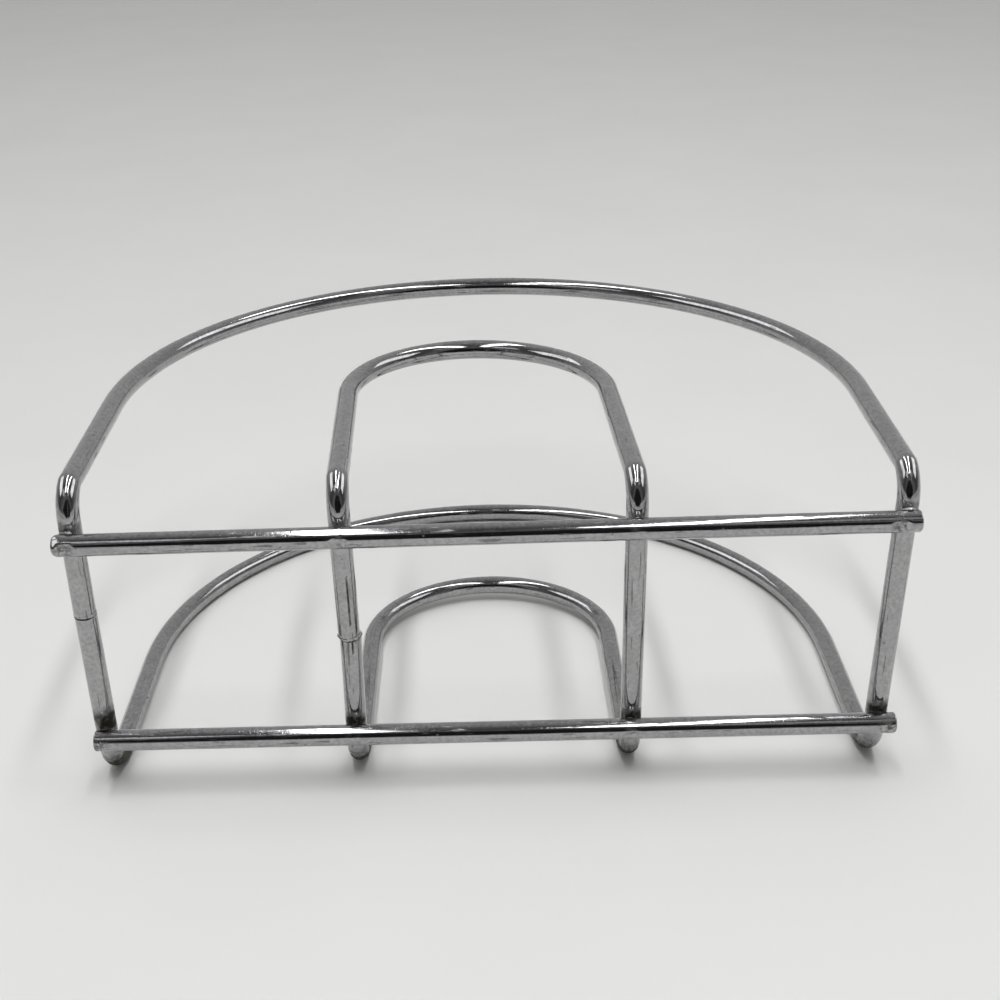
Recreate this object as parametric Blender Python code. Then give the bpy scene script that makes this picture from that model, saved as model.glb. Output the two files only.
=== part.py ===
"""Napkin holder of chromed round wire: two bent hoops welded behind two straight rails.

It lies on its back. X runs along the rails, Y from the rails to the crowns of the arches, and Z up.
Stood on its rails, the lower and upper faces of the hoops are upright and napkins go between them.
The origin is at the bottom centre of the outer box.
"""

import math

import bmesh
import bpy
from mathutils import Vector

# Wire stock
WIRE_DIAMETER = 0.00476
RAIL_DIAMETER = 0.0047
JOINT_GAP = 0.0003  # between pieces that touch

# Hoops: each is one wire with a lower arch, two legs and an upper arch, measured on its centre line
FACE_SPACING = 0.07345  # lower face to upper face, the height of a leg
BEND_RADIUS = 0.0084  # at both ends of every leg
OUTER_LEG_SPACING = 0.1753
OUTER_SIDE_LENGTH = 0.0431  # straight side of an arch, from the leg to the crown
OUTER_CROWN_RISE = 0.0774
INNER_LEG_SPACING = 0.0621
INNER_SIDE_LENGTH = 0.0486
INNER_CROWN_RISE = 0.0289
UPPER_INNER_LEAN = math.radians(-2.1)  # sideways, towards -X
UPPER_INNER_DROOP = math.radians(1.5)  # towards the lower face

# Rails: straight wires across the front of the four legs
RAIL_END_INSET = 0.00063  # short of the outer legs' outer sides
RAIL_END_CHAMFER = 0.0005
UPPER_RAIL_BELOW_BEND = 0.0014  # rail centre to the end of the legs' upper bends
LOWER_RAIL_ABOVE_BEND = 0.0041
UPPER_RAIL_TILT = math.radians(0.48)  # its right end is the higher one
UPPER_RAIL_SHIFT = -0.00025  # along X
LOWER_RAIL_SHIFT = 0.0008

# Welds: a bead round each crossing, and a flash ring where the two ends of a hoop's wire meet
WELD_BORE_SHARE = 0.5  # of the thinner wire's radius
WELD_REACH_SHARE = 0.88
WELD_BEAD = 0.0003  # how far the bead bulges past its reach
SEAM_WIDTH = 0.0011
OUTER_SEAM_FLASH = 0.00012  # how far the flash stands proud of the wire
INNER_SEAM_FLASH = 0.0004
OUTER_SEAM_SHARE = 0.6  # place on the left leg, from the lower rail to the upper rail
INNER_SEAM_SHARE = 0.46

# Facets
WIRE_SIDES = 16
CROWN_STEPS = 30
BEND_STEPS = 6
WELD_SIDES = 16
SMOOTH_ANGLE = math.radians(35)

# Finish: bright chrome plate, dull and darker at the welds
HOOP_COLOUR = (0.48, 0.48, 0.49)
RAIL_COLOUR = (0.50, 0.50, 0.51)
WELD_COLOUR = (0.30, 0.29, 0.27)
HOOP_ROUGHNESS = 0.16
RAIL_ROUGHNESS = 0.12
WELD_ROUGHNESS = 0.38

# Worked out from the sizes above
WIRE_RADIUS = WIRE_DIAMETER / 2
RAIL_RADIUS = RAIL_DIAMETER / 2
RAIL_LENGTH = OUTER_LEG_SPACING + WIRE_DIAMETER - 2 * RAIL_END_INSET
RAIL_Y = -(WIRE_RADIUS + JOINT_GAP + RAIL_RADIUS)
UPPER_RAIL_HEIGHT = FACE_SPACING - BEND_RADIUS - UPPER_RAIL_BELOW_BEND
LOWER_RAIL_HEIGHT = BEND_RADIUS + LOWER_RAIL_ABOVE_BEND
BOX_FRONT = RAIL_Y - RAIL_RADIUS
BOX_BACK = OUTER_SIDE_LENGTH + OUTER_CROWN_RISE + WIRE_RADIUS
ALONG = Vector((1, 0, 0))
FRONT = Vector((0, -1, 0))
UP = Vector((0, 0, 1))


def clear_scene():
    """Remove every object that the file holds."""
    for item in list(bpy.data.objects):
        bpy.data.objects.remove(item, do_unlink=True)


def add_frame():
    """Empty at the middle of the legs' feet, on the lower wires' centre line; it carries every piece."""
    frame = bpy.data.objects.new("holder_frame", None)
    frame.location = (0, -(BOX_FRONT + BOX_BACK) / 2, WIRE_RADIUS)
    bpy.context.collection.objects.link(frame)
    return frame


def add_piece(name, shape, frame, colour, roughness):
    """Turn a closed bmesh into a smooth-shaded chromed object on the frame."""
    bmesh.ops.recalc_face_normals(shape, faces=shape.faces)
    mesh = bpy.data.meshes.new(name)
    shape.to_mesh(mesh)
    shape.free()
    mesh.shade_smooth()
    mesh.set_sharp_from_angle(angle=SMOOTH_ANGLE)
    finish = bpy.data.materials.new(name + "_finish")
    finish.use_nodes = True
    shader = finish.node_tree.nodes["Principled BSDF"]
    shader.inputs["Base Color"].default_value = (*colour, 1)
    shader.inputs["Metallic"].default_value = 1.0
    shader.inputs["Roughness"].default_value = roughness
    mesh.materials.append(finish)
    piece = bpy.data.objects.new(name, mesh)
    piece.parent = frame
    bpy.context.collection.objects.link(piece)
    return piece


def ring(centre, tangent, outward, radius):
    """Corners of one cross-section; a flat faces outward, and it measures 2 * radius across flats."""
    out = (outward - outward.dot(tangent) * tangent).normalized()
    side = tangent.cross(out)
    reach = radius / math.cos(math.pi / WIRE_SIDES)
    corners = []
    for index in range(WIRE_SIDES):
        angle = (index + 0.5) * 2 * math.pi / WIRE_SIDES
        corners.append(centre + reach * (math.cos(angle) * out + math.sin(angle) * side))
    return corners


def sweep(stations):
    """Closed solid through stations of (centre, tangent, outward axis, radius)."""
    shape = bmesh.new()
    loops = []
    for station in stations:
        loops.append([shape.verts.new(corner) for corner in ring(*station)])
    for first, second in zip(loops, loops[1:]):
        for index in range(WIRE_SIDES):
            after = (index + 1) % WIRE_SIDES
            shape.faces.new((first[index], first[after], second[after], second[index]))
    shape.faces.new(list(reversed(loops[0])))
    shape.faces.new(loops[-1])
    return shape


def bend(corner, along_leg, along_side):
    """Stations of the fillet in the corner of a leg and an arch's side, from the leg to the side."""
    half_angle = along_leg.angle(along_side) / 2
    centre = corner + (along_leg + along_side).normalized() * BEND_RADIUS / math.sin(half_angle)
    spoke = (corner + along_leg * BEND_RADIUS / math.tan(half_angle) - centre).normalized()
    stations = []
    for step in range(BEND_STEPS + 1):
        angle = (math.pi - 2 * half_angle) * step / BEND_STEPS
        outward = spoke * math.cos(angle) - along_leg * math.sin(angle)
        tangent = -along_leg * math.cos(angle) - spoke * math.sin(angle)
        stations.append((centre + outward * BEND_RADIUS, tangent, outward, WIRE_RADIUS))
    return stations


def reverse(stations):
    """The same stations, walked the other way."""
    return [(centre, -tangent, outward, radius) for centre, tangent, outward, radius in reversed(stations)]


def arch(leg_spacing, side, rise, height, outward, lean=0.0, droop=0.0):
    """Stations of one face of a hoop, left leg to right leg: bend, side, half-ellipse crown, side, bend."""

    def on_face(x, y):
        return Vector((x + y * math.tan(lean), y * math.cos(droop), -y * math.sin(droop)))

    half = leg_spacing / 2
    along_side = on_face(0, 1).normalized()
    normal = ALONG.cross(along_side).normalized() * outward.dot(UP)
    crown = []
    for step in range(CROWN_STEPS + 1):
        angle = math.pi * (1 - step / CROWN_STEPS)
        centre = on_face(half * math.cos(angle), side + rise * math.sin(angle)) + UP * height
        tangent = on_face(half * math.sin(angle), -rise * math.cos(angle)).normalized()
        crown.append((centre, tangent, normal, WIRE_RADIUS))
    left = bend(UP * height - ALONG * half, -outward, along_side)
    right = bend(UP * height + ALONG * half, -outward, along_side)
    return left + crown + reverse(right)


def leg_station(leg_spacing, height):
    """Station on the left leg of a hoop, walked upwards."""
    return (UP * height - ALONG * leg_spacing / 2, UP, FRONT, WIRE_RADIUS)


def add_hoop(name, frame, leg_spacing, side, rise, seam_height, lean=0.0, droop=0.0):
    """One hoop: its wire starts and ends at the seam on the left leg, and runs over both faces."""
    wire_end = SEAM_WIDTH / 2 + JOINT_GAP
    upper = arch(leg_spacing, side, rise, FACE_SPACING, UP, lean, droop)
    lower = arch(leg_spacing, side, rise, 0.0, -UP)
    path = [leg_station(leg_spacing, seam_height + wire_end)]
    path += upper + reverse(lower)
    path += [leg_station(leg_spacing, seam_height - wire_end)]
    add_piece(name, sweep(path), frame, HOOP_COLOUR, HOOP_ROUGHNESS)


def add_seam(name, frame, leg_spacing, seam_height, flash):
    """Butt weld between the two ends of a hoop's wire: a short barrel, proud of the wire by its flash."""
    barrel = ((-1 / 2, 0.0), (-1 / 4, flash), (1 / 4, flash), (1 / 2, 0.0))
    stations = []
    for place, proud in barrel:
        stations.append((UP * SEAM_WIDTH * place, UP, FRONT, WIRE_RADIUS + proud))
    seam = add_piece(name, sweep(stations), frame, WELD_COLOUR, WELD_ROUGHNESS)
    seam.location = UP * seam_height - ALONG * leg_spacing / 2


def add_rail(name, frame, height, shift, tilt):
    """Straight rail with chamfered ends, lying across the front of the legs."""
    end = RAIL_LENGTH / 2
    shoulder = end - RAIL_END_CHAMFER
    tip_radius = RAIL_RADIUS - RAIL_END_CHAMFER
    profile = ((-end, tip_radius), (-shoulder, RAIL_RADIUS), (shoulder, RAIL_RADIUS), (end, tip_radius))
    stations = [(ALONG * x, ALONG, FRONT, radius) for x, radius in profile]
    rail = add_piece(name, sweep(stations), frame, RAIL_COLOUR, RAIL_ROUGHNESS)
    rail.location = (shift, RAIL_Y, height)
    rail.rotation_euler.y = -tilt


def weld_section(x, z):
    """Front and back limits of the wedge between a leg and a rail, beside their crossing."""
    back = -math.sqrt(WIRE_RADIUS**2 - x**2) - JOINT_GAP / 2
    front = RAIL_Y + math.sqrt(RAIL_RADIUS**2 - z**2) + JOINT_GAP / 2
    return front, back


def add_crossing_weld(name, frame, x, height):
    """Ring of weld metal in the wedge between a leg and a rail, round the point where they meet."""
    thinner = min(WIRE_RADIUS, RAIL_RADIUS)
    bore = thinner * WELD_BORE_SHARE
    reach = thinner * WELD_REACH_SHARE
    shape = bmesh.new()
    loops = []
    for index in range(WELD_SIDES):
        angle = index * 2 * math.pi / WELD_SIDES
        beside = Vector((math.cos(angle), 0, math.sin(angle)))
        bore_front, bore_back = weld_section(bore * beside.x, bore * beside.z)
        reach_front, reach_back = weld_section(reach * beside.x, reach * beside.z)
        section = (
            beside * bore - FRONT * bore_front,
            beside * reach - FRONT * reach_front,
            beside * (reach + WELD_BEAD) - FRONT * (reach_front + reach_back) / 2,
            beside * reach - FRONT * reach_back,
            beside * bore - FRONT * bore_back,
        )
        loops.append([shape.verts.new(point) for point in section])
    for first, second in zip(loops, loops[1:] + loops[:1]):
        for index in range(len(first)):
            after = (index + 1) % len(first)
            shape.faces.new((first[index], first[after], second[after], second[index]))
    weld = add_piece(name, shape, frame, WELD_COLOUR, WELD_ROUGHNESS)
    weld.location = (x, 0, height)


def main():
    """Build every piece of the holder."""
    clear_scene()
    frame = add_frame()
    rail_gap = UPPER_RAIL_HEIGHT - LOWER_RAIL_HEIGHT
    outer_seam = LOWER_RAIL_HEIGHT + rail_gap * OUTER_SEAM_SHARE
    inner_seam = LOWER_RAIL_HEIGHT + rail_gap * INNER_SEAM_SHARE

    add_hoop("outer_hoop", frame, OUTER_LEG_SPACING, OUTER_SIDE_LENGTH, OUTER_CROWN_RISE, outer_seam)
    add_hoop("inner_hoop", frame, INNER_LEG_SPACING, INNER_SIDE_LENGTH, INNER_CROWN_RISE, inner_seam,
             UPPER_INNER_LEAN, UPPER_INNER_DROOP)
    add_seam("outer_seam_weld", frame, OUTER_LEG_SPACING, outer_seam, OUTER_SEAM_FLASH)
    add_seam("inner_seam_weld", frame, INNER_LEG_SPACING, inner_seam, INNER_SEAM_FLASH)

    rails = (
        ("upper", UPPER_RAIL_HEIGHT, UPPER_RAIL_SHIFT, UPPER_RAIL_TILT),
        ("lower", LOWER_RAIL_HEIGHT, LOWER_RAIL_SHIFT, 0.0),
    )
    legs = (
        ("outer_left", -OUTER_LEG_SPACING / 2),
        ("inner_left", -INNER_LEG_SPACING / 2),
        ("inner_right", INNER_LEG_SPACING / 2),
        ("outer_right", OUTER_LEG_SPACING / 2),
    )
    for rail_name, height, shift, tilt in rails:
        add_rail(rail_name + "_rail", frame, height, shift, tilt)
        for leg_name, x in legs:
            crossing = height + (x - shift) * math.tan(tilt)
            add_crossing_weld("weld_" + rail_name + "_" + leg_name, frame, x, crossing)


main()
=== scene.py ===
"""Looks of the chromed wire napkin holder, lying on its back on a pale floor.

Smooth wires, cut rails and lumpy welds stand for the faceted nodes of the frame. Lengths are metres in
the frame's axes: X along the rails, Y from the rails to the crowns of the arches, Z up.
"""

import math

import bpy
import numpy as np
from mathutils import Matrix, Vector, noise


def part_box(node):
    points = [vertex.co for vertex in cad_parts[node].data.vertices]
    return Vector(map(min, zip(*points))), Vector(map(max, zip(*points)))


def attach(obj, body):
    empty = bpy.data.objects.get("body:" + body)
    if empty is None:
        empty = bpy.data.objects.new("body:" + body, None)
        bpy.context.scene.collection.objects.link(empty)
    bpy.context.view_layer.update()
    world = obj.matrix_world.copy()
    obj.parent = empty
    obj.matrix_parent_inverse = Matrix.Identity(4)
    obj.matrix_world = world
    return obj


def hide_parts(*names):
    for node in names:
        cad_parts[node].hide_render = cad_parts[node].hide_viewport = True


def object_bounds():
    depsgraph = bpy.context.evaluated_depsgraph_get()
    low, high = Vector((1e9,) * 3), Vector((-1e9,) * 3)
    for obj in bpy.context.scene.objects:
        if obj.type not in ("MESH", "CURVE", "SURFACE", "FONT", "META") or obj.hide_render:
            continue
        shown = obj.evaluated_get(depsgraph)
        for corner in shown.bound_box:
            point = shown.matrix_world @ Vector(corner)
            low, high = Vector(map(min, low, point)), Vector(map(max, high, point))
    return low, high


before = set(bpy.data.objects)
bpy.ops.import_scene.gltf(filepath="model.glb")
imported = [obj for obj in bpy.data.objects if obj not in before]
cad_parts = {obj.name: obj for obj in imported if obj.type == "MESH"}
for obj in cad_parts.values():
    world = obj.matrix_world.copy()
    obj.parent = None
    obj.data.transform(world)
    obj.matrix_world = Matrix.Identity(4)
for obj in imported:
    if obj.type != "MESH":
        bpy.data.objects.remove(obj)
cad_low, cad_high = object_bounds()

# Wire shapes that the frame's boxes don't give
WIRE_RADIUS = 0.00238
RAIL_RADIUS = 0.00235
OUTER_SIDE_LENGTH = 0.0431
INNER_SIDE_LENGTH = 0.0486
INNER_LEG_SPACING = 0.0621

# Bends: radius next to the leg and next to the arch, and the turn before a bend tightens
UPPER_BEND_RADII = (0.0078, 0.0020)
LOWER_BEND_RADII = (0.0084, 0.0084)
WIDE_BEND_TURN = math.radians(60)

# Arches, each pair for the upper face and the lower: rise of the crown, sag of the whole face, tilts
INNER_CROWN_RISES = (0.0289, 0.0261)
OUTER_SAGS = (0.0007, 0.0)
INNER_SAGS = (0.0010, 0.0002)
OUTER_TILTS = (
    {"shift": 0.0003, "roll": math.radians(0.1), "droop": math.radians(-0.33)},
    {},
)
INNER_TILTS = (
    {"lean": math.radians(-2.1), "droop": math.radians(0.74)},
    {"droop": math.radians(-1.55)},
)

# Shifts of the inner hoop's left and right legs along X, each at the foot, middle and head
LEG_HEIGHTS = (0.0, 0.5, 1.0)  # as shares of a leg
INNER_LEG_SHIFTS = ((0.0, 0.0, -0.00028), (0.00054, 0.00034, 0.00012))

# Rails: rounded ends, one of them cut on its upper front, and a flat on each crossing
UPPER_RAIL_TILT = math.radians(0.48)
LOWER_RAIL_TILT = 0.0
RAIL_STEP = 0.0004
RAIL_END_EXTRA = 0.0004  # past each end of the frame's rail
ROUND_END = (0.0012, 0.0008)  # along the rail and across it
SHARP_END = (0.0004, 0.0004)
RAIL_END_DOME = 0.00015
RAIL_END_START = 0.02  # smallest ring of a tip, as a share of the tip
UPPER_END_LUMPS = (0.00006, 0.00003)  # left and right
LOWER_END_LUMPS = (0.00005, 0.00004)
RAIL_END_LUMP_SIZE = 0.0016
RAIL_END_LUMP_REACH = 0.0030
UPPER_LEFT_CUT = 0.0009
LOWER_LEFT_CUT = 0.0  # the lower rail is left whole
LEFT_CUT_FACING = np.array((-0.334, -0.620, 0.709))
LEFT_CUT_SOFTNESS = 0.0005
FLAT_SOFTNESS = 0.00001
UPPER_FLATS = (0.00045, 0.00022, 0.00006, 0.00035)  # depth on each leg, outer left to outer right
LOWER_FLATS = (0.00006, 0.00008, 0.00012, 0.00010)
UPPER_FLAT_SHIFT = (0.0005, 0.0, 0.0, -0.0026)  # along the rail from the leg
LOWER_FLAT_SHIFT = (0.0, 0.0, 0.0, 0.0008)
FLAT_HALF_LENGTH = 0.0013
FLAT_RUN_OUT = 0.0008
FLAT_ROUGHNESS = 0.00012
FLAT_LUMP_SIZE = 0.0007

# Seams: how far the wire's lower end is out of line, and the flash, from a gap darkened by painted
# shade and dirt to a soft top
OUTER_SEAM_STEP = 0.00010
INNER_SEAM_STEP = 0.00030
SEAM_SHARES = (0.0, 0.05, 0.38, 0.48, 0.66, 1.0)  # of the flash's width, from its lower edge
SEAM_PROUD = (-0.5, 0.06, 0.06, 1.0, 0.45, -0.1)  # over the wire, as a share of the highest
OUTER_SEAM_FRONT = 0.40  # share of the flash that is left in front
INNER_SEAM_FRONT = 0.10
SEAM_LUMP = 0.00006
SEAM_LUMP_SIZE = 0.0011
# darkening under the flash: painted shade below its lower edge, with dirt in the gap
SEAM_SHADE_AND_DIRT = 3.0
OUTER_SEAM_GAP = 0.43  # share of the width darkened by painted shade and dirt
INNER_SEAM_GAP = 0.20

# Welds
UPPER_WELD_SWELL = (0.86, 0.62, 0.62, 0.86)  # bead over its node's box, outer left to outer right
LOWER_WELD_SWELL = (0.50, 0.50, 0.50, 0.50)
WELD_LUMPS = ((0.55, 0.12), (0.2, 0.04))  # size and height of big and fine lumps, as shares of the bead
WELD_POLE = 0.02  # turn from each end of a bead to its first ring
WELD_ROWS = 24

# Noise seed of a piece for each metre of its place
SEED_SCALE = 1000

# Mesh fineness
WIRE_SIDES = 40
STRAIGHT_STEP = 0.0008
CROWN_STEPS = 150
BEND_STEPS = 40
RAIL_END_STEPS = 10

# Dirt on each leg just above the crossings, outer left to outer right: strength, place and reach
# The upper outer left one also paints the shade in the gap beside the rail's stub
UPPER_GRIME_AND_SHADE = (0.80, 0.40, 0.30, 0.60)
UPPER_GRIME_SIDE = (-0.0006, 0.0, 0.0, 0.0)
UPPER_GRIME_LIFT = (0.0014, 0.0012, 0.0012, 0.0014)
UPPER_GRIME_REACH = (0.0040, 0.0036, 0.0036, 0.0036)
LOWER_GRIME = (1.5, 1.1, 1.25, 1.15)
LOWER_GRIME_SIDE = (0.0048, 0.0, 0.0007, -0.0006)
LOWER_GRIME_LIFT = (0.0028, 0.0010, 0.0006, 0.0010)
LOWER_GRIME_REACH = (0.0062, 0.0044, 0.0042, 0.0046)
GRIME_SQUEEZE = 0.5  # of distances across a leg
RAIL_GRIME_SHARE = 0.35

# Darkening under each foot, outer left to outer right, painted shade of the floor's contact shadow with
# some dirt: strength and place beside the leg
# painted shade of the contact shadow under each foot, with some dirt
FOOT_SHADE_AND_DIRT = (2.0, 1.8, 1.9, 1.2)
FOOT_SHADE_SIDE = (0.0016, 0.0, 0.0, 0.0030)
FOOT_SHADE_BACK = 0.0030
FOOT_SHADE_REACH = 0.0120

# Scratches down the inner hoop's left leg: lower and upper ends, mesh side from the front, strength
SCRATCHES = ((0.0345, 0.0386), (0.0418, 0.0545))
SCRATCH_SIDE = 2
SCRATCH_GRIME = 1.0

# Pits at the crossings
UPPER_PITTING = (1.0, 0.5, 0.15, 1.0)
LOWER_PITTING = (0.8, 0.2, 0.4, 1.0)
PITTING_REACH = 0.0030

# Colours
HOOP_COLOUR = (0.45, 0.45, 0.455)
RAIL_COLOUR = (0.455, 0.45, 0.46)
WELD_COLOUR = (0.31, 0.31, 0.30)
# colour of dirt and soot, and of the painted shade under the feet, the seams' flash and the outer left
# stub
GRIME_AND_SHADE_COLOUR = (0.026, 0.024, 0.017)
FLOOR_COLOUR = (0.88, 0.88, 0.865)
CARD_COLOUR = (0.002, 0.002, 0.002)
DULL_SHARE = 0.84  # of the chrome's colour, where it is cloudy
FILM_SHARE = 0.68
MOTTLE_SHARE = 0.975  # of the floor's colour

# Grain of the finishes: scale per metre, noise that counts as none and as full, and detail
CLOUDS = (260.0, 0.3, 0.7, 2.0)
FILM = (1200.0, 0.35, 0.70, 4.0)
PITS = (2400.0, 0.58, 0.72, 1.0)
SPOTS = (620.0, 0.74, 0.79, 2.0)
SCARS = (1000.0, 0.42, 0.62, 3.0)
SMEARS = (800.0, 0.25, 0.75, 4.0)
WOBBLE = (170.0, 0.2, 0.8, 1.0)
SOOT = (700.0, 0.45, 0.66, 3.0)
WELD_GRAIN = (1600.0, 0.35, 0.65, 2.0)
MOTTLE = (14.0, 0.3, 0.7, 4.0)

# Grain drawn out along the wire: its scale lies in the squeeze along and across
STREAKS = (1.0, 0.35, 0.75, 3.0)
STREAK_SQUEEZE = (60, 2600, 2600)
FINE_SCRATCHES = (1.0, 0.66, 0.74, 1.0)
SCRATCH_SQUEEZE = (130, 1500, 1500)

# Dirt and painted shade: share that smears leave everywhere, smeared dirt that counts as none and as
# full, and darkness
SMEAR_BASE = 0.45
SMUDGE_RANGE = (0.15, 0.90)
PIT_DARKNESS = 0.8
SCRATCH_DARKNESS = 0.5

# Roughness and sheen
SMOOTH = 0.055
CLOUD_ROUGHNESS = 0.03  # added by full clouds, and so on
STREAK_ROUGHNESS = 0.03
DIRT_ROUGHNESS = 0.45
DIRT_SHEEN = 0.15
WELD_SMOOTH = 0.26
SOOT_ROUGHNESS = 0.35
WELD_GRAIN_ROUGHNESS = 0.10
FLOOR_ROUGHNESS = 0.75
FLOOR_SHEEN = 0.2
CARD_ROUGHNESS = 0.9

# Relief
WOBBLE_DEPTH = 0.000014
STREAK_DEPTH = 0.000003
PIT_DEPTH = 0.0000025
SCAR_DEPTH = 0.00007
SOOT_DEPTH = 0.000035

# Camera
LENS = 48.31
SENSOR = 36.0
CAMERA_PLACE = (-0.000654, -0.30380, 0.20284)
CAMERA_ELEVATION = math.radians(28.123)
CAMERA_YAW = math.radians(0.7275)
CAMERA_ROLL = math.radians(-0.8785)
CAMERA_SHIFT_Y = -0.001
CAMERA_CLIP_START = 0.01

# Lamps overhead, as the chrome shows them: place in X and Y, turn in degrees, width, length, brightness
LAMP_HEIGHT = 0.80
LAMPS = {
    "left_lamp": (-0.130, -0.10, 1, 0.055, 0.86, 10.0),
    "right_lamp": (0.182, -0.10, -11, 0.070, 0.86, 10.0),
}

# Lights for the floor and its shadows, which the chrome doesn't show: place, width, length, brightness
FLOOR_LAMPS = {
    "left_floor_lamp": (-0.135, -0.30, 0.96, 0.055, 0.60, 26.0),
    "right_floor_lamp": (0.190, -0.30, 0.96, 0.070, 0.60, 18.4),
    "ceiling": (0.0, 0.60, 1.50, 2.40, 1.80, 0.58),
}

# Soft panels round the holder, as the chrome shows them: turn from the back and rise in degrees, width,
# height, brightness
PANEL_DISTANCE = 1.3
PANELS = {
    "left_panel": (-88, 40, 1.10, 0.50, 1.7),
    "right_panel": (90, 39, 1.10, 0.50, 1.7),
    "left_front_panel": (-145, 50, 0.40, 0.30, 0.8),
    "right_front_panel": (150, 52, 0.40, 0.30, 0.35),
}

# Room: how far back a direction points, from -1 to 1, and its brightness; the table beyond the floor
ROOM = (
    (-1.0, 0.20),
    (-0.75, 0.17),
    (-0.5, 0.08),
    (-0.3, 0.09),
    (0.0, 0.22),
    (0.5, 0.42),
    (0.9, 0.55),
)
TABLE_RADIANCE = 0.62
TABLE_EDGE = (0.03, 0.08)  # rise of the directions over which the table gives way to the room

# Dark card behind the camera
CARD_Y = -0.42
CARD_EDGE = ((0.13, 0.05), (0.28, 0.16), (0.10, 0.38))  # half width and height, from foot to head

# Floor
FLOOR_REACH = 3.0
FLOOR_FRONT = -0.75


def node_centre(node):
    """Middle of a CAD node's box."""
    low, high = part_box(node)
    return (low + high) / 2


outer_low, outer_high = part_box("outer_hoop")
LEG_Y = outer_low.y + WIRE_RADIUS
LOWER_FACE = outer_low.z + WIRE_RADIUS
UPPER_FACE = outer_high.z - WIRE_RADIUS
OUTER_LEG_SPACING = 2 * (outer_high.x - WIRE_RADIUS)
OUTER_CROWN_RISE = outer_high.y - WIRE_RADIUS - LEG_Y - OUTER_SIDE_LENGTH
LEGS = ("outer_left", "inner_left", "inner_right", "outer_right")
UPPER_WELDS = tuple("weld_upper_" + leg for leg in LEGS)
LOWER_WELDS = tuple("weld_lower_" + leg for leg in LEGS)
UP = np.array((0.0, 0.0, 1.0))
FRONT = np.array((0.0, -1.0, 0.0))


def straight(start, end):
    """Points along a line, about one step apart, without the last one."""
    count = max(2, round(np.linalg.norm(end - start) / STRAIGHT_STEP))
    return start + np.linspace(0, 1, count, endpoint=False)[:, None] * (end - start)


def bend(corner, travel, away, radii):
    """Points of the bend in a corner, from the wire that travels to it to the one that leads away."""
    side = away - (away @ travel) * travel
    side = side / np.linalg.norm(side)
    full_turn = math.acos(away @ travel)
    turn = np.linspace(0, full_turn, BEND_STEPS)
    middle = (turn[1:] + turn[:-1]) / 2
    step = np.where(middle < WIDE_BEND_TURN, *radii) * np.diff(turn)
    along = np.r_[0, np.cumsum(step * np.cos(middle))]
    across = np.r_[0, np.cumsum(step * np.sin(middle))]
    start = corner + (across[-1] / math.tan(full_turn) - along[-1]) * travel
    return start + along[:, None] * travel + across[:, None] * side


def arch_line(half, side, rise, height, travel, radii, shift=0.0, roll=0.0, lean=0.0, droop=0.0):
    """Centre line of one face of a hoop, from left bend to right bend; the legs travel to the face."""
    along = np.array((math.tan(lean), math.cos(droop), -math.sin(droop)))
    foot = np.array((shift, LEG_Y, height))
    across = np.array((1.0, 0, math.tan(roll)))
    turn = np.linspace(math.pi, 0, CROWN_STEPS)[:, None]
    crown = foot + half * np.cos(turn) * across + (side + rise * np.sin(turn)) * along
    away = along / np.linalg.norm(along)
    left = bend(foot - half * across, travel, away, radii)
    right = bend(foot + half * across, travel, away, radii)[::-1]
    return np.vstack((
        left[:-1],
        straight(left[-1], crown[0]),
        crown,
        straight(crown[-1], right[0])[1:],
        right,
    ))


def hoop_line(half, side, rises, seam, step, sags, tilts):
    """Centre line of a hoop's wire, from its seam up the left leg, over both faces and back to it.

    Rises, sags and tilts are pairs, for the upper face and the lower.
    """
    upper = arch_line(half, side, rises[0], UPPER_FACE - sags[0], UP, UPPER_BEND_RADII, **tilts[0])
    lower = arch_line(half, side, rises[1], LOWER_FACE - sags[1], -UP, LOWER_BEND_RADII, **tilts[1])
    lower = lower[::-1]
    start = np.array((-half, LEG_Y, seam))
    end = start + np.array((step, 0, 0))
    return np.vstack((
        straight(start, upper[0]),
        upper[:-1],
        straight(upper[-1], lower[0]),
        lower[:-1],
        straight(lower[-1], end),
        end[None],
    ))


def shift_legs(line, side, shifts):
    """Line with its legs moved along X, and the sides of its arches ever less towards the crowns."""
    height = (line[:, 2] - LOWER_FACE) / (UPPER_FACE - LOWER_FACE)
    left, right = (np.interp(height, LEG_HEIGHTS, shift) for shift in shifts)
    from_crown = np.clip(1 - (line[:, 1] - LEG_Y) / side, 0, 1)
    across = from_crown * np.where(line[:, 0] < 0, left, right)
    return line + across[:, None] * np.array((1.0, 0, 0))


def rings_round(line, tangent, first_out, radius):
    """Rings of points round a centre line, with each point's outward direction."""
    out = np.empty_like(line)
    axis = first_out
    for index, direction in enumerate(tangent):
        axis = axis - (axis @ direction) * direction
        axis = axis / np.linalg.norm(axis)
        out[index] = axis
    side = np.cross(tangent, out)
    angle = np.linspace(0, 2 * math.pi, WIRE_SIDES, endpoint=False)[None, :, None]
    outward = np.cos(angle) * out[:, None] + np.sin(angle) * side[:, None]
    radius = np.broadcast_to(np.asarray(radius, float), (len(line),))
    return line[:, None] + radius[:, None, None] * outward, outward


def tangents(line):
    """Unit directions along a line of points."""
    slope = np.gradient(line, axis=0)
    return slope / np.linalg.norm(slope, axis=1)[:, None]


def lumps(points, size, seed):
    """Smooth noise from -1 to 1 at every point, with lumps of about the size given."""
    flat = points.reshape(-1, 3) / size + seed
    values = [noise.noise(Vector(point)) for point in flat]
    return np.array(values).reshape(points.shape[:-1])


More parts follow.
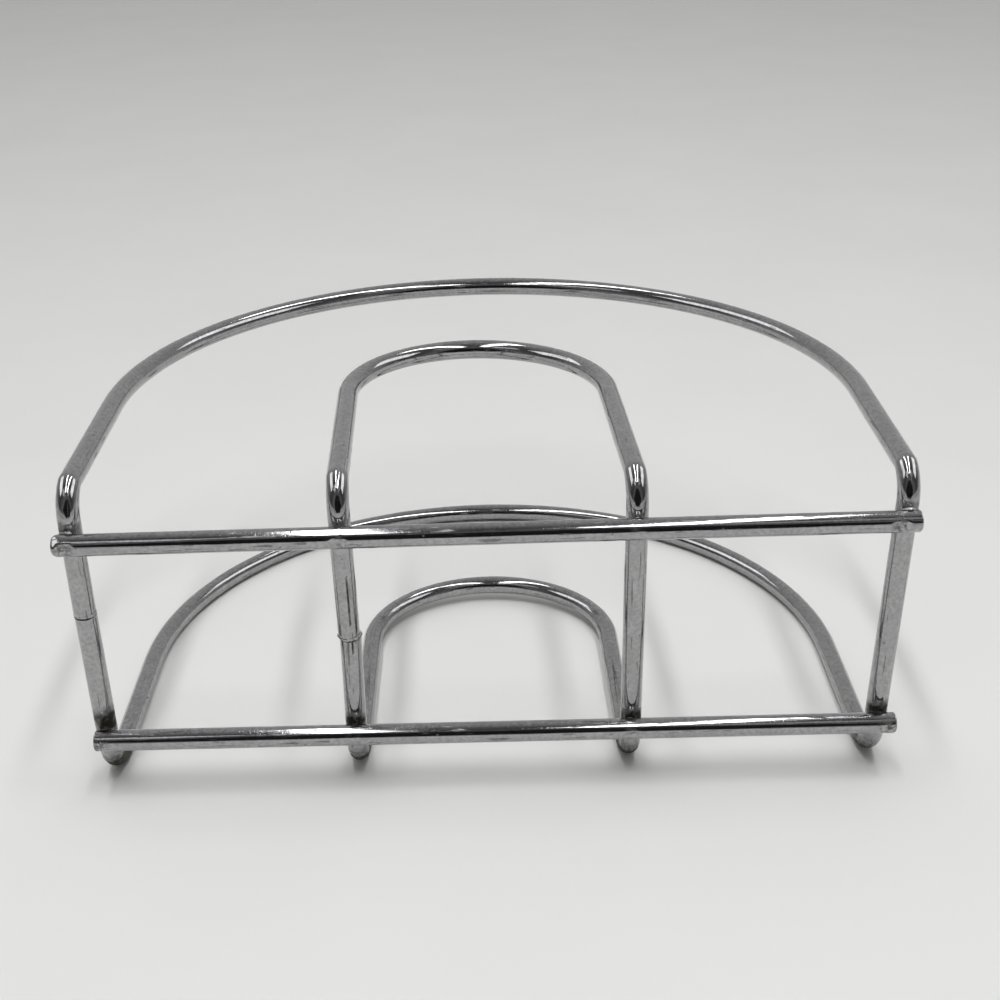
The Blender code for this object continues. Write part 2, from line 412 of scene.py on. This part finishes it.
def nearness(points, centre, reach, squeeze=1.0):
    """1 at the centre, falling smoothly to 0 at the reach; distances in X may be squeezed."""
    away = (points - np.array(centre)) * (squeeze, 1, 1)
    fall = np.clip(1 - np.linalg.norm(away, axis=-1) / reach, 0, 1)
    return fall * fall * (3 - 2 * fall)


def set_attribute(mesh, name, kind, field, values):
    """Store one value per vertex for the materials to read."""
    attribute = mesh.attributes.new(name, kind, "POINT")
    attribute.data.foreach_set(field, np.asarray(values, np.float32).ravel())


def crossing_wear(rings, on_rail):
    """Dirt above the crossings, with some painted shade, and pits at them: on a rail in front, where it
    was pressed.
    """
    grime_and_shade = np.zeros(rings.shape[:2])
    pitting = np.zeros(rings.shape[:2])
    pressed = Vector(2 * RAIL_RADIUS * FRONT) if on_rail else Vector()
    squeeze, share = (1.0, RAIL_GRIME_SHARE) if on_rail else (GRIME_SQUEEZE, 1.0)
    rows = (
        (UPPER_WELDS, UPPER_PITTING, UPPER_FLAT_SHIFT,
         UPPER_GRIME_AND_SHADE, UPPER_GRIME_SIDE, UPPER_GRIME_LIFT, UPPER_GRIME_REACH),
        (LOWER_WELDS, LOWER_PITTING, LOWER_FLAT_SHIFT,
         LOWER_GRIME, LOWER_GRIME_SIDE, LOWER_GRIME_LIFT, LOWER_GRIME_REACH),
    )
    for row in rows:
        for weld, pits, shift, dirt_and_shade, side, lift, reach in zip(*row):
            darkened = node_centre(weld) + Vector((side, 0, lift))
            pitted = node_centre(weld) + Vector((shift, 0, 0)) + pressed
            grime_and_shade = np.maximum(grime_and_shade, share * dirt_and_shade * nearness(rings, darkened, reach, squeeze))
            pitting = np.maximum(pitting, pits * nearness(rings, pitted, PITTING_REACH))
    return grime_and_shade, pitting


def foot_shade_and_dirt(rings):
    """Painted shade under the feet of a hoop, with some dirt."""
    grime_and_shade = np.zeros(rings.shape[:2])
    for weld, dirt_and_shade, side in zip(LOWER_WELDS, FOOT_SHADE_AND_DIRT, FOOT_SHADE_SIDE):
        under = (node_centre(weld).x + side, LEG_Y + FOOT_SHADE_BACK, LOWER_FACE - WIRE_RADIUS)
        grime_and_shade = np.maximum(grime_and_shade, dirt_and_shade * nearness(rings, under, FOOT_SHADE_REACH, GRIME_SQUEEZE))
    return grime_and_shade


def scratch_grime(rings):
    """Dirt in the scratches, along the front of a left leg."""
    grime_and_shade = np.zeros(rings.shape[:2])
    front = rings[:, 0]
    on_left_leg = (front[:, 0] < 0) & (front[:, 1] < LEG_Y)
    for low, high in SCRATCHES:
        scratched = on_left_leg & (front[:, 2] > low) & (front[:, 2] < high)
        grime_and_shade[scratched, SCRATCH_SIDE] = SCRATCH_GRIME
    return grime_and_shade


def add_wear(mesh, rings, line, grime_and_shade, pitting):
    """Attributes of a wire for its material: place along and across it, dirt and painted shade, pits.
    """
    run = np.r_[0, np.cumsum(np.linalg.norm(np.diff(line, axis=0), axis=1))]
    around = 2 * math.pi * np.arange(rings.shape[1]) / rings.shape[1]
    place = np.stack((
        np.broadcast_to(run[:, None], rings.shape[:2]),
        np.broadcast_to(WIRE_RADIUS * np.cos(around), rings.shape[:2]),
        np.broadcast_to(WIRE_RADIUS * np.sin(around), rings.shape[:2]),
    ), axis=-1)
    set_attribute(mesh, "wire_place", "FLOAT_VECTOR", "vector", place)
    set_attribute(mesh, "grime_and_shade", "FLOAT", "value", grime_and_shade)
    set_attribute(mesh, "pitting", "FLOAT", "value", pitting)


def mesh_piece(name, rings, material):
    """Object from rings of points: quads between neighbouring rings, and a cap on each end."""
    count, sides, _ = rings.shape
    first = np.arange(count - 1)[:, None] * sides + np.arange(sides)
    after = np.arange(count - 1)[:, None] * sides + (np.arange(sides) + 1) % sides
    quads = np.stack((first, after, after + sides, first + sides), axis=-1).reshape(-1, 4)
    faces = [tuple(quad) for quad in quads.tolist()]
    faces.append(tuple(range(sides - 1, -1, -1)))
    faces.append(tuple(range((count - 1) * sides, count * sides)))
    mesh = bpy.data.meshes.new(name)
    mesh.from_pydata(rings.reshape(-1, 3).tolist(), [], faces)
    mesh.shade_smooth()
    mesh.materials.append(material)
    piece = bpy.data.objects.new(name, mesh)
    bpy.context.scene.collection.objects.link(piece)
    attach(piece, "root")
    return piece


def stand_for(node):
    """Let a piece take a CAD node's place."""
    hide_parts(node)


def add_hoop(name, node, material, line, scratched):
    """Smooth wire of one hoop, in place of its faceted node."""
    rings, _ = rings_round(line, tangents(line), FRONT, WIRE_RADIUS)
    piece = mesh_piece(name, rings, material)
    grime_and_shade, pitting = crossing_wear(rings, on_rail=False)
    # darkening of the feet: painted shade of the floor's contact shadow, with some dirt
    grime_and_shade = np.maximum(grime_and_shade, foot_shade_and_dirt(rings))
    if scratched:
        grime_and_shade = np.maximum(grime_and_shade, scratch_grime(rings))
    add_wear(piece.data, rings, line, grime_and_shade, pitting)
    stand_for(node)


def rail_end(along, across):
    """Places and radii of a rail's end, from the middle of its domed tip to the full wire."""
    tip = RAIL_RADIUS - across
    share = np.linspace(RAIL_END_START, 1, RAIL_END_STEPS)
    turn = np.linspace(0, math.pi / 2, RAIL_END_STEPS)[1:]
    places = np.r_[RAIL_END_DOME * share**2, RAIL_END_DOME + along * (1 - np.cos(turn))]
    return places, np.r_[tip * share, tip + across * np.sin(turn)]


def press(rings, start, facing, reach, softness):
    """Flatten what stands out further than the reach from the start, in the direction faced."""
    excess = np.maximum(0, (rings - start) @ facing - reach)
    excess = excess**2 / (excess + softness)
    return rings - excess[..., None] * facing


def add_rail(name, node, material, tilt, left_round, left_cut, end_lumps, crossings):
    """Straight wire with lumpy ends and a flat at each crossing, in place of a faceted rail."""
    low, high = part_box(node)
    centre = np.array((low + high) / 2)
    axis = np.array((math.cos(tilt), 0, math.sin(tilt)))
    half = (high.x - low.x) / 2 / math.cos(tilt) + RAIL_END_EXTRA
    left_places, left_radii = rail_end(*left_round)
    right_places, right_radii = rail_end(*SHARP_END)
    shaft = np.arange(left_places[-1] - half, half - right_places[-1], RAIL_STEP)[1:]
    place = np.r_[left_places - half, shaft, half - right_places[::-1]]
    radius = np.r_[left_radii, np.full(len(shaft), RAIL_RADIUS), right_radii[::-1]]
    line = centre + place[:, None] * axis
    rings, outward = rings_round(line, np.tile(axis, (len(line), 1)), UP, radius)

    near_end = np.clip(1 - (half - np.abs(place)) / RAIL_END_LUMP_REACH, 0, 1)
    lump = (near_end * np.where(place < 0, *end_lumps))[:, None]
    lump = lump * lumps(rings, RAIL_END_LUMP_SIZE, SEED_SCALE * centre)
    rings = rings + lump[..., None] * outward
    rough = FLAT_ROUGHNESS * lumps(rings, FLAT_LUMP_SIZE, SEED_SCALE * centre)
    for weld, depth, shift in zip(*crossings):
        from_weld = np.abs(place - (node_centre(weld).x + shift - centre[0]))
        run_out = np.clip((FLAT_HALF_LENGTH + FLAT_RUN_OUT - from_weld) / FLAT_RUN_OUT, 0, 1)
        reach = RAIL_RADIUS - (depth + rough) * run_out[:, None]
        rings = press(rings, line[:, None], FRONT, reach, FLAT_SOFTNESS)
    shoulder = RAIL_RADIUS * math.hypot(*LEFT_CUT_FACING[1:]) - left_cut
    rings = press(rings, line[0], LEFT_CUT_FACING, shoulder, LEFT_CUT_SOFTNESS)
    piece = mesh_piece(name, rings, material)
    add_wear(piece.data, rings, line, *crossing_wear(rings, on_rail=True))
    stand_for(node)


def add_seam(name, node, material, step, front, gap):
    """Rough flash round a butt weld, with painted shade and dirt in the gap below it, in place of its
    smooth node.
    """
    low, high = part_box(node)
    centre = np.array((low + high) / 2) + np.array((step / 2, 0, 0))
    proud = (high.x - low.x) / 2 - WIRE_RADIUS
    share = np.linspace(0, 1, WELD_ROWS)
    bulge = proud * np.interp(share, SEAM_SHARES, SEAM_PROUD)
    line = centre + (share - 0.5)[:, None] * (high.z - low.z) * UP
    rings, outward = rings_round(line, np.tile(UP, (len(line), 1)), FRONT, WIRE_RADIUS)
    in_front = np.clip(outward @ FRONT, 0, 1)
    height = bulge[:, None] * np.where(bulge[:, None] > 0, 1 - (1 - front) * in_front, 1)
    lump = lumps(rings, SEAM_LUMP_SIZE, SEED_SCALE * centre)
    height = height + SEAM_LUMP * (share > gap)[:, None] * lump
    rings = rings + height[..., None] * outward
    piece = mesh_piece(name, rings, material)
    # painted shade and dirt in the gap under the flash
    darkened = np.broadcast_to((SEAM_SHADE_AND_DIRT * (share < gap))[:, None], rings.shape[:2])
    add_wear(piece.data, rings, line, darkened, np.zeros(rings.shape[:2]))
    stand_for(node)


def add_weld(node, material, scale):
    """Lumpy bead squeezed out between a leg and a rail, in place of its smooth ring."""
    low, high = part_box(node)
    centre = np.array((low + high) / 2)
    reach = scale * np.array(high - low) / 2
    pole = np.linspace(WELD_POLE, math.pi - WELD_POLE, WELD_ROWS)[:, None]
    around = np.linspace(0, 2 * math.pi, WIRE_SIDES, endpoint=False)[None, :]
    ball = np.stack((
        -np.cos(pole) * np.ones_like(around),
        np.sin(pole) * np.cos(around),
        np.sin(pole) * np.sin(around),
    ), axis=-1)
    swell = 1
    for index, (size, height) in enumerate(WELD_LUMPS, start=1):
        swell = swell + height * lumps(ball, size, index * SEED_SCALE * centre)
    piece = mesh_piece(node + "_bead", centre + reach * ball * swell[..., None], material)
    stand_for(node)


def add_node(tree, kind, inputs=None, **settings):
    """New shader node; each of its inputs gets a value or another node's output."""
    new = tree.nodes.new(kind)
    for name, value in settings.items():
        setattr(new, name, value)
    for name, value in (inputs or {}).items():
        if isinstance(value, bpy.types.NodeSocket):
            tree.links.new(value, new.inputs[name])
        else:
            new.inputs[name].default_value = value
    return new


def new_material(name):
    """Empty material, with its node tree and its shader."""
    material = bpy.data.materials.new(name)
    material.use_nodes = True
    return material, material.node_tree, material.node_tree.nodes["Principled BSDF"]


def spread(tree, value, low, high):
    """Value cut to the range from low to high and spread over 0 to 1."""
    inputs = {"Value": value, "From Min": low, "From Max": high}
    return add_node(tree, "ShaderNodeMapRange", inputs).outputs["Result"]


def speckle(tree, place, scale, low, high, detail):
    """Noise cut to the range from low to high and spread over 0 to 1."""
    inputs = {"Vector": place, "Scale": scale, "Detail": detail}
    grain = add_node(tree, "ShaderNodeTexNoise", inputs)
    return spread(tree, grain.outputs["Fac"], low, high)


def stretched(tree, place, squeeze):
    """Place with each of its parts scaled."""
    scaled = add_node(tree, "ShaderNodeVectorMath", {0: place, 1: squeeze}, operation="MULTIPLY")
    return scaled.outputs["Vector"]


def arithmetic(tree, operation, first, second):
    """Output of a maths node on two values or outputs."""
    result = add_node(tree, "ShaderNodeMath", {0: first, 1: second}, operation=operation)
    return result.outputs["Value"]


def mix_colours(tree, share, first, second):
    """Colour between two; each is an RGB value or another node's output."""
    ends = [end if isinstance(end, bpy.types.NodeSocket) else (*end, 1) for end in (first, second)]
    inputs = {"Factor_Float": share, "A_Color": ends[0], "B_Color": ends[1]}
    mix = add_node(tree, "ShaderNodeMix", data_type="RGBA")
    for socket in mix.inputs:
        value = inputs.get(socket.identifier)
        if isinstance(value, bpy.types.NodeSocket):
            tree.links.new(value, socket)
        elif value is not None:
            socket.default_value = value
    return next(socket for socket in mix.outputs if socket.identifier == "Result_Color")


def weighted_sum(tree, start, terms):
    """Start value plus each output times its weight."""
    total = start
    for value, weight in terms:
        inputs = {0: value, 1: weight, 2: total}
        step = add_node(tree, "ShaderNodeMath", inputs, operation="MULTIPLY_ADD")
        total = step.outputs["Value"]
    return total


def add_relief(tree, shader, height):
    """Bump the shader's surface by a height in metres."""
    bump = add_node(tree, "ShaderNodeBump", {"Strength": 1.0, "Distance": 1.0, "Height": height})
    tree.links.new(bump.outputs["Normal"], shader.inputs["Normal"])


def chrome_material(name, colour):
    """Worn chrome plate: streaks and scratches along it, fine pits, cloudy film, and dirt with painted
    shade.
    """
    material, tree, shader = new_material(name)
    place = add_node(tree, "ShaderNodeAttribute", attribute_name="wire_place").outputs["Vector"]
    grime_and_shade_mark = add_node(tree, "ShaderNodeAttribute", attribute_name="grime_and_shade").outputs["Fac"]
    pit_mark = add_node(tree, "ShaderNodeAttribute", attribute_name="pitting").outputs["Fac"]

    streaks = speckle(tree, stretched(tree, place, STREAK_SQUEEZE), *STREAKS)
    scratches = speckle(tree, stretched(tree, place, SCRATCH_SQUEEZE), *FINE_SCRATCHES)
    clouds = speckle(tree, place, *CLOUDS)
    film = speckle(tree, place, *FILM)
    pits = speckle(tree, place, *PITS)
    spots = speckle(tree, place, *SPOTS)
    scars = speckle(tree, place, *SCARS)
    smears = speckle(tree, place, *SMEARS)
    wobble = speckle(tree, place, *WOBBLE)

    # the grime attribute holds dirt and painted shade
    smeared = arithmetic(tree, "MULTIPLY", arithmetic(tree, "ADD", smears, SMEAR_BASE), grime_and_shade_mark)
    smudge_and_shade = spread(tree, smeared, *SMUDGE_RANGE)
    deep_pits = arithmetic(tree, "MULTIPLY", scars, pit_mark)
    dark_pits = arithmetic(tree, "MULTIPLY", deep_pits, PIT_DARKNESS)
    dark_scratches = arithmetic(tree, "MULTIPLY", scratches, SCRATCH_DARKNESS)
    dirt_and_shade = smudge_and_shade
    for mark in (spots, dark_pits, dark_scratches):
        dirt_and_shade = arithmetic(tree, "MAXIMUM", dirt_and_shade, mark)

    dull = tuple(DULL_SHARE * part for part in colour)
    filmed = tuple(FILM_SHARE * part for part in colour)
    plate = mix_colours(tree, film, mix_colours(tree, clouds, colour, dull), filmed)
    surface = mix_colours(tree, dirt_and_shade, plate, GRIME_AND_SHADE_COLOUR)
    tree.links.new(surface, shader.inputs["Base Color"])
    bare = add_node(tree, "ShaderNodeMapRange", {"Value": dirt_and_shade, "To Min": 1.0, "To Max": 0.0})
    tree.links.new(bare.outputs["Result"], shader.inputs["Metallic"])
    shader.inputs["Specular IOR Level"].default_value = DIRT_SHEEN
    rough = weighted_sum(tree, SMOOTH, (
        (clouds, CLOUD_ROUGHNESS),
        (streaks, STREAK_ROUGHNESS),
        (dirt_and_shade, DIRT_ROUGHNESS),
    ))
    tree.links.new(rough, shader.inputs["Roughness"])
    height = weighted_sum(tree, 0.0, (
        (wobble, WOBBLE_DEPTH),
        (streaks, STREAK_DEPTH),
        (pits, -PIT_DEPTH),
        (deep_pits, -SCAR_DEPTH),
    ))
    add_relief(tree, shader, height)
    return material


def weld_material():
    """Weld metal: plated over, lumpy and sooty."""
    material, tree, shader = new_material("weld_metal")
    place = add_node(tree, "ShaderNodeTexCoord").outputs["Object"]
    soot = speckle(tree, place, *SOOT)
    grain = speckle(tree, place, *WELD_GRAIN)
    surface = mix_colours(tree, soot, WELD_COLOUR, GRIME_AND_SHADE_COLOUR)
    tree.links.new(surface, shader.inputs["Base Color"])
    shader.inputs["Metallic"].default_value = 1.0
    rough = weighted_sum(tree, WELD_SMOOTH, ((soot, SOOT_ROUGHNESS), (grain, WELD_GRAIN_ROUGHNESS)))
    tree.links.new(rough, shader.inputs["Roughness"])
    height = weighted_sum(tree, 0.0, ((grain, PIT_DEPTH), (soot, -SOOT_DEPTH)))
    add_relief(tree, shader, height)
    return material


def floor_material():
    """Matt white paper, faintly mottled."""
    material, tree, shader = new_material("floor_paper")
    place = add_node(tree, "ShaderNodeTexCoord").outputs["Object"]
    mottle = speckle(tree, place, *MOTTLE)
    shade = tuple(MOTTLE_SHARE * part for part in FLOOR_COLOUR)
    tree.links.new(mix_colours(tree, mottle, FLOOR_COLOUR, shade), shader.inputs["Base Color"])
    shader.inputs["Roughness"].default_value = FLOOR_ROUGHNESS
    shader.inputs["Specular IOR Level"].default_value = FLOOR_SHEEN
    return material


def add_sheet(name, corners, material):
    """Flat stage piece with the corners given."""
    mesh = bpy.data.meshes.new(name)
    mesh.from_pydata(corners, [], [tuple(range(len(corners)))])
    mesh.materials.append(material)
    sheet = bpy.data.objects.new(name, mesh)
    bpy.context.scene.collection.objects.link(sheet)
    return sheet


def add_floor():
    """Pale floor under the holder."""
    corners = [
        (-FLOOR_REACH, FLOOR_FRONT, 0),
        (FLOOR_REACH, FLOOR_FRONT, 0),
        (FLOOR_REACH, FLOOR_REACH, 0),
        (-FLOOR_REACH, FLOOR_REACH, 0),
    ]
    add_sheet("floor", corners, floor_material())


def add_dark_card():
    """Dark card behind the camera, which only reflections show."""
    material, _, shader = new_material("dark_card")
    shader.inputs["Base Color"].default_value = (*CARD_COLOUR, 1)
    shader.inputs["Roughness"].default_value = CARD_ROUGHNESS
    corners = [(half, CARD_Y, height) for half, height in CARD_EDGE]
    corners += [(-half, CARD_Y, height) for half, height in reversed(CARD_EDGE)]
    card = add_sheet("dark_card", corners, material)
    card.visible_camera = False
    card.visible_diffuse = False
    card.visible_shadow = False


def add_light(name, place, target, size, radiance):
    """Soft rectangular light that faces a target; its radiance is how bright it looks in a mirror."""
    lamp = bpy.data.lights.new(name, "AREA")
    lamp.shape = "RECTANGLE"
    lamp.size, lamp.size_y = size
    lamp.energy = radiance * math.pi * size[0] * size[1]
    light = bpy.data.objects.new(name, lamp)
    light.location = place
    light.rotation_euler = (Vector(target) - Vector(place)).to_track_quat("-Z", "Y").to_euler()
    bpy.context.scene.collection.objects.link(light)
    return light


def add_lights():
    """Lamps and panels that the chrome shows, and lights for the floor that it doesn't."""
    for name, (x, y, turn, width, length, radiance) in LAMPS.items():
        lamp = add_light(name, (x, y, LAMP_HEIGHT), (x, y, 0), (width, length), radiance)
        lamp.rotation_euler.z += math.radians(turn)
        lamp.visible_diffuse = False
    for name, (x, y, z, width, length, radiance) in FLOOR_LAMPS.items():
        lamp = add_light(name, (x, y, z), (x, y, 0), (width, length), radiance)
        lamp.visible_glossy = False
    middle = (cad_low + cad_high) / 2
    for name, (turn, rise, width, height, radiance) in PANELS.items():
        turn, rise = math.radians(turn), math.radians(rise)
        flat = math.cos(rise)
        aim = Vector((flat * math.sin(turn), flat * math.cos(turn), math.sin(rise)))
        panel = add_light(name, middle + PANEL_DISTANCE * aim, middle, (width, height), radiance)
        panel.visible_diffuse = False


def add_world():
    """Grey room, darker in front than at the back, over a pale table."""
    world = bpy.data.worlds.new("room")
    world.use_nodes = True
    bpy.context.scene.world = world
    tree = world.node_tree
    direction = add_node(tree, "ShaderNodeTexCoord").outputs["Generated"]
    parts = add_node(tree, "ShaderNodeSeparateXYZ", {"Vector": direction})
    ramp = add_node(tree, "ShaderNodeValToRGB", {"Fac": spread(tree, parts.outputs["Y"], -1.0, 1.0)})
    steps = ramp.color_ramp.elements
    steps.remove(steps[1])
    for index, (place, radiance) in enumerate(ROOM):
        step = steps.new((place + 1) / 2) if index else steps[0]
        step.position = (place + 1) / 2
        step.color = (radiance, radiance, radiance, 1)
    above = spread(tree, parts.outputs["Z"], *TABLE_EDGE)
    glow = mix_colours(tree, above, (TABLE_RADIANCE,) * 3, ramp.outputs["Color"])
    tree.links.new(glow, tree.nodes["Background"].inputs["Color"])


def add_camera():
    """Camera at the photograph's place."""
    lens = bpy.data.cameras.new("camera")
    lens.lens = LENS
    lens.sensor_width = SENSOR
    lens.shift_y = CAMERA_SHIFT_Y
    lens.clip_start = CAMERA_CLIP_START
    camera = bpy.data.objects.new("camera", lens)
    bpy.context.scene.collection.objects.link(camera)
    flat = math.cos(CAMERA_ELEVATION)
    down = math.sin(CAMERA_ELEVATION)
    forward = Vector((math.sin(CAMERA_YAW) * flat, math.cos(CAMERA_YAW) * flat, -down))
    right = Vector((math.cos(CAMERA_YAW), -math.sin(CAMERA_YAW), 0))
    up = right.cross(forward)
    rolled_right = math.cos(CAMERA_ROLL) * right + math.sin(CAMERA_ROLL) * up
    rolled_up = math.cos(CAMERA_ROLL) * up - math.sin(CAMERA_ROLL) * right
    turn = Matrix((rolled_right, rolled_up, -forward)).transposed()
    camera.matrix_world = Matrix.Translation(CAMERA_PLACE) @ turn.to_4x4()
    bpy.context.scene.camera = camera


hoop_chrome = chrome_material("hoop_chrome", HOOP_COLOUR)
rail_chrome = chrome_material("rail_chrome", RAIL_COLOUR)
weld_metal = weld_material()
outer_seam = node_centre("outer_seam_weld").z
inner_seam = node_centre("inner_seam_weld").z
outer_line = hoop_line(
    OUTER_LEG_SPACING / 2, OUTER_SIDE_LENGTH, (OUTER_CROWN_RISE, OUTER_CROWN_RISE),
    outer_seam, OUTER_SEAM_STEP, OUTER_SAGS, OUTER_TILTS,
)
inner_line = hoop_line(
    INNER_LEG_SPACING / 2, INNER_SIDE_LENGTH, INNER_CROWN_RISES,
    inner_seam, INNER_SEAM_STEP, INNER_SAGS, INNER_TILTS,
)
inner_line = shift_legs(inner_line, INNER_SIDE_LENGTH, INNER_LEG_SHIFTS)
add_hoop("outer_hoop_wire", "outer_hoop", hoop_chrome, outer_line, scratched=False)
add_hoop("inner_hoop_wire", "inner_hoop", hoop_chrome, inner_line, scratched=True)
add_rail(
    "upper_rail_wire", "upper_rail", rail_chrome, UPPER_RAIL_TILT, ROUND_END, UPPER_LEFT_CUT,
    UPPER_END_LUMPS, (UPPER_WELDS, UPPER_FLATS, UPPER_FLAT_SHIFT),
)
add_rail(
    "lower_rail_wire", "lower_rail", rail_chrome, LOWER_RAIL_TILT, SHARP_END, LOWER_LEFT_CUT,
    LOWER_END_LUMPS, (LOWER_WELDS, LOWER_FLATS, LOWER_FLAT_SHIFT),
)
add_seam(
    "outer_seam_flash", "outer_seam_weld", hoop_chrome,
    OUTER_SEAM_STEP, OUTER_SEAM_FRONT, OUTER_SEAM_GAP,
)
add_seam(
    "inner_seam_flash", "inner_seam_weld", hoop_chrome,
    INNER_SEAM_STEP, INNER_SEAM_FRONT, INNER_SEAM_GAP,
)
for weld, swell in zip(UPPER_WELDS + LOWER_WELDS, UPPER_WELD_SWELL + LOWER_WELD_SWELL):
    add_weld(weld, weld_metal, swell)

add_floor()
add_dark_card()
add_lights()
add_world()
add_camera()
bpy.context.scene.view_settings.view_transform = "Standard"
